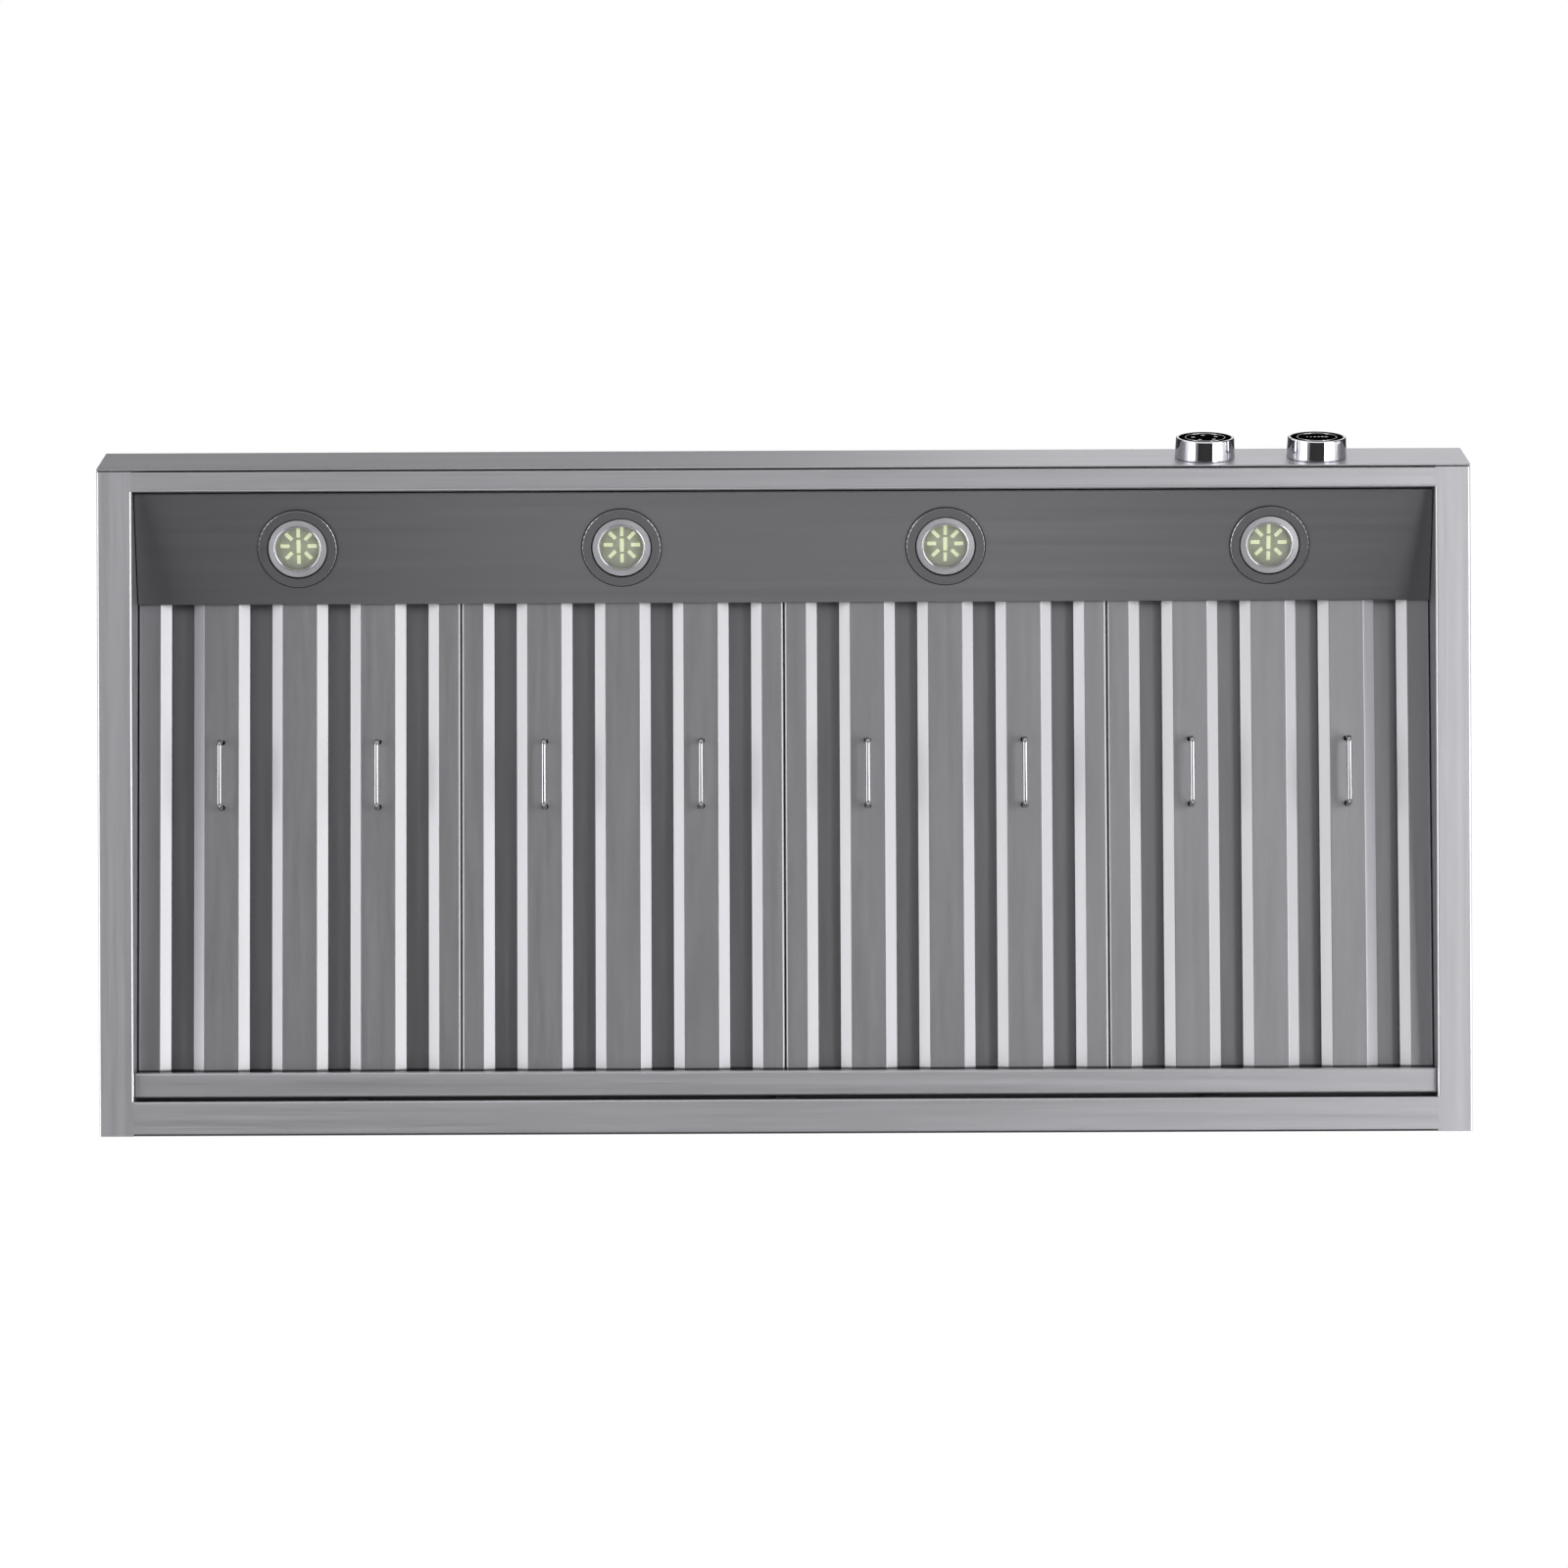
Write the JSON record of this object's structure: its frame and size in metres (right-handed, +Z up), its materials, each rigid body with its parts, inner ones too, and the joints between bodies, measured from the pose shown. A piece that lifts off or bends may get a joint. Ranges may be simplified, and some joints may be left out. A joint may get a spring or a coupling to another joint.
{
  "type": "island range hood",
  "caption": "Stainless island range hood with a leaning control fascia, spot lamps, baffle filters with wire handles, a grease trough, an inner blower and a telescopic chimney.",
  "frame": {"origin": "centre of the ceiling bracket's bolt pattern, on its upper face", "axes": "+Z up to the ceiling, -Y out of the front fascia, +X to the right seen from the front"},
  "size_m": [1.219, 0.6247, 0.754],
  "materials": {
    "stainless": "satin brushed",
    "filter_steel": "satin",
    "galvanised": "dull zinc",
    "spring_steel": "plain",
    "lamp_aluminium": "satin",
    "lens_glass": "clear",
    "led_board": "matte",
    "led_emitter": "phosphor coat",
    "dark_plastic": "moulded",
    "chrome": "polished",
    "chrome_wire": "polished wire",
    "dial_black": "gloss",
    "motor_grey": "satin paint",
    "fan_steel": "dull zinc"
  },
  "bodies": {
    "hood": {"front_fascia": "stainless", "front_rail": "stainless", "left_side_panel": "stainless", "right_side_panel": "stainless", "back_panel": "stainless", "canopy_shroud": "stainless", "light_panel": "stainless", "chimney_upper": "stainless", "lamp_trims": "stainless", "top_plate": "galvanised", "hanger_legs": "galvanised", "ceiling_bracket": "galvanised", "blower_housing": "galvanised", "motor_plate": "galvanised", "duct_collar": "galvanised", "junction_box": "galvanised", "trough_clips": "spring_steel", "damper_pin": "spring_steel", "hanger_bolts": "spring_steel", "lamp_bodies": "lamp_aluminium", "lamp_lenses": "lens_glass", "led_boards": "led_board", "led_bars": "led_emitter", "led_driver": "dark_plastic", "fan_switch": "dark_plastic", "light_switch": "dark_plastic", "motor_body": "motor_grey"},
    "fan_knob": {"fan_knob": "chrome", "fan_knob_dial": "dial_black", "fan_knob_shaft": "spring_steel"},
    "light_knob": {"light_knob": "chrome", "light_knob_dial": "dial_black", "light_knob_shaft": "spring_steel"},
    "grease_trough": {"grease_trough": "stainless"},
    "chimney_lower": {"chimney_lower": "stainless"},
    "fan_rotor": {"motor_shaft": "spring_steel", "fan_wheel_left": "fan_steel", "fan_wheel_right": "fan_steel"},
    "damper_flap_front": {"damper_flap_front": "galvanised"},
    "damper_flap_rear": {"damper_flap_rear": "galvanised"},
    "filter_1": {"filter_1_frame": "filter_steel", "filter_1_front_baffles": "filter_steel", "filter_1_rear_baffles": "filter_steel"},
    "filter_1_handle_left": {"filter_1_handle_left": "chrome_wire"},
    "filter_1_handle_right": {"filter_1_handle_right": "chrome_wire"},
    "filter_2": {"filter_2_frame": "filter_steel", "filter_2_front_baffles": "filter_steel", "filter_2_rear_baffles": "filter_steel"},
    "filter_2_handle_left": {"filter_2_handle_left": "chrome_wire"},
    "filter_2_handle_right": {"filter_2_handle_right": "chrome_wire"},
    "filter_3": {"filter_3_frame": "filter_steel", "filter_3_front_baffles": "filter_steel", "filter_3_rear_baffles": "filter_steel"},
    "filter_3_handle_left": {"filter_3_handle_left": "chrome_wire"},
    "filter_3_handle_right": {"filter_3_handle_right": "chrome_wire"},
    "filter_4": {"filter_4_frame": "filter_steel", "filter_4_front_baffles": "filter_steel", "filter_4_rear_baffles": "filter_steel"},
    "filter_4_handle_left": {"filter_4_handle_left": "chrome_wire"},
    "filter_4_handle_right": {"filter_4_handle_right": "chrome_wire"}
  },
  "joints": [
    {"name": "fan_knob_turn", "type": "hinge", "parent": "hood", "child": "fan_knob", "pos_m": [0.3766, -0.30563, -0.72013], "axis": [0, -0.9676, -0.2524], "range_deg": [-180, 0]},
    {"name": "light_knob_turn", "type": "hinge", "parent": "hood", "child": "light_knob", "pos_m": [0.4764, -0.30563, -0.72013], "axis": [0, -0.9676, -0.2524], "range_deg": [-270, 0]},
    {"name": "filter_1_slide", "type": "slide", "parent": "hood", "child": "filter_1", "axis": [0, -0.9987, 0.0515], "range_m": [0, 0.015]},
    {"name": "filter_2_slide", "type": "slide", "parent": "hood", "child": "filter_2", "axis": [0, -0.9987, 0.0515], "range_m": [0, 0.015]},
    {"name": "filter_3_slide", "type": "slide", "parent": "hood", "child": "filter_3", "axis": [0, -0.9987, 0.0515], "range_m": [0, 0.015]},
    {"name": "filter_4_slide", "type": "slide", "parent": "hood", "child": "filter_4", "axis": [0, -0.9987, 0.0515], "range_m": [0, 0.015]},
    {"name": "filter_1_handle_left_swing", "type": "hinge", "parent": "filter_1", "child": "filter_1_handle_left", "pos_m": [-0.50357, -0.02509, -0.71149], "axis": [0, 0.9987, -0.0515], "range_deg": [-12, 12]},
    {"name": "filter_1_handle_right_swing", "type": "hinge", "parent": "filter_1", "child": "filter_1_handle_right", "pos_m": [-0.36357, -0.02509, -0.71149], "axis": [0, 0.9987, -0.0515], "range_deg": [-12, 12]},
    {"name": "filter_2_handle_left_swing", "type": "hinge", "parent": "filter_2", "child": "filter_2_handle_left", "pos_m": [-0.21452, -0.02509, -0.71149], "axis": [0, 0.9987, -0.0515], "range_deg": [-12, 12]},
    {"name": "filter_2_handle_right_swing", "type": "hinge", "parent": "filter_2", "child": "filter_2_handle_right", "pos_m": [-0.07452, -0.02509, -0.71149], "axis": [0, 0.9987, -0.0515], "range_deg": [-12, 12]},
    {"name": "filter_3_handle_left_swing", "type": "hinge", "parent": "filter_3", "child": "filter_3_handle_left", "pos_m": [0.07452, -0.02509, -0.71149], "axis": [0, 0.9987, -0.0515], "range_deg": [-12, 12]},
    {"name": "filter_3_handle_right_swing", "type": "hinge", "parent": "filter_3", "child": "filter_3_handle_right", "pos_m": [0.21452, -0.02509, -0.71149], "axis": [0, 0.9987, -0.0515], "range_deg": [-12, 12]},
    {"name": "filter_4_handle_left_swing", "type": "hinge", "parent": "filter_4", "child": "filter_4_handle_left", "pos_m": [0.36357, -0.02509, -0.71149], "axis": [0, 0.9987, -0.0515], "range_deg": [-12, 12]},
    {"name": "filter_4_handle_right_swing", "type": "hinge", "parent": "filter_4", "child": "filter_4_handle_right", "pos_m": [0.50357, -0.02509, -0.71149], "axis": [0, 0.9987, -0.0515], "range_deg": [-12, 12]},
    {"name": "grease_trough_drop", "type": "slide", "parent": "hood", "child": "grease_trough", "axis": [0, 0, -1], "range_m": [0, 0.06]},
    {"name": "chimney_lift", "type": "slide", "parent": "hood", "child": "chimney_lower", "axis": [0, 0, 1], "range_m": [0, 0.15]},
    {"name": "fan_spin", "type": "hinge", "parent": "hood", "child": "fan_rotor", "pos_m": [0, -0.038, -0.588], "axis": [1, 0, 0], "continuous": true},
    {"name": "damper_flap_front_open", "type": "hinge", "parent": "hood", "child": "damper_flap_front", "pos_m": [0, 0, -0.4725], "axis": [-1, 0, 0], "range_deg": [0, 80]},
    {"name": "damper_flap_rear_open", "type": "hinge", "parent": "hood", "child": "damper_flap_rear", "pos_m": [0, 0, -0.4725], "axis": [1, 0, 0], "range_deg": [0, 80]}
  ]
}
